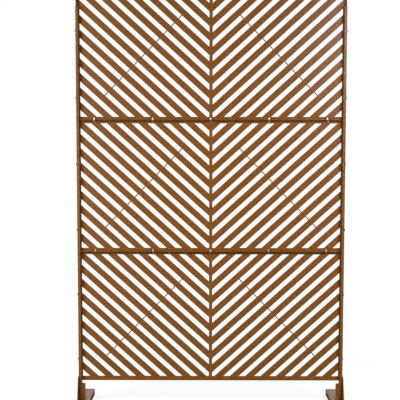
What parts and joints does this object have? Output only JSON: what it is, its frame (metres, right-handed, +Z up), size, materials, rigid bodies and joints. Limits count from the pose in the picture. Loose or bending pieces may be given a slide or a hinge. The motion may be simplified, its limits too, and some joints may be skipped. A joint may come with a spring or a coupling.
{
  "type": "garden privacy screen",
  "caption": "Free-standing steel privacy screen: slatted pans with mirrored slanting slots, stacked between two channel posts on low folded feet.",
  "frame": {"origin": "on the ground, in the middle of the width and in the middle of the panels' and the feet's depth", "axes": "+X across the screen, from its left post to its right post as seen from the front; -Y towards the front, where the pans are open; +Z up"},
  "size_m": [1.2286, 0.34, 1.925],
  "materials": {
    "brown_coat": "brown powder coat, fine mottled texture, low sheen",
    "zinc_plate": "bright zinc plate"
  },
  "bodies": {
    "root": {"bottom_panel": "brown_coat", "middle_panel": "brown_coat", "top_panel": "brown_coat", "left_lower_post": "brown_coat", "left_upper_post": "brown_coat", "right_lower_post": "brown_coat", "right_upper_post": "brown_coat", "left_foot_tube": "brown_coat", "left_foot_bracket": "brown_coat", "left_foot_base": "brown_coat", "right_foot_tube": "brown_coat", "right_foot_bracket": "brown_coat", "right_foot_base": "brown_coat", "lower_seam_bolts": "zinc_plate", "lower_seam_washers": "zinc_plate", "lower_seam_nuts": "zinc_plate", "upper_seam_bolts": "zinc_plate", "upper_seam_washers": "zinc_plate", "upper_seam_nuts": "zinc_plate", "left_side_bolts": "zinc_plate", "left_side_washers": "zinc_plate", "left_side_nuts": "zinc_plate", "right_side_bolts": "zinc_plate", "right_side_washers": "zinc_plate", "right_side_nuts": "zinc_plate", "left_foot_bolts": "zinc_plate", "left_foot_washers": "zinc_plate", "left_foot_nuts": "zinc_plate", "right_foot_bolts": "zinc_plate", "right_foot_washers": "zinc_plate", "right_foot_nuts": "zinc_plate"}
  },
  "joints": []
}
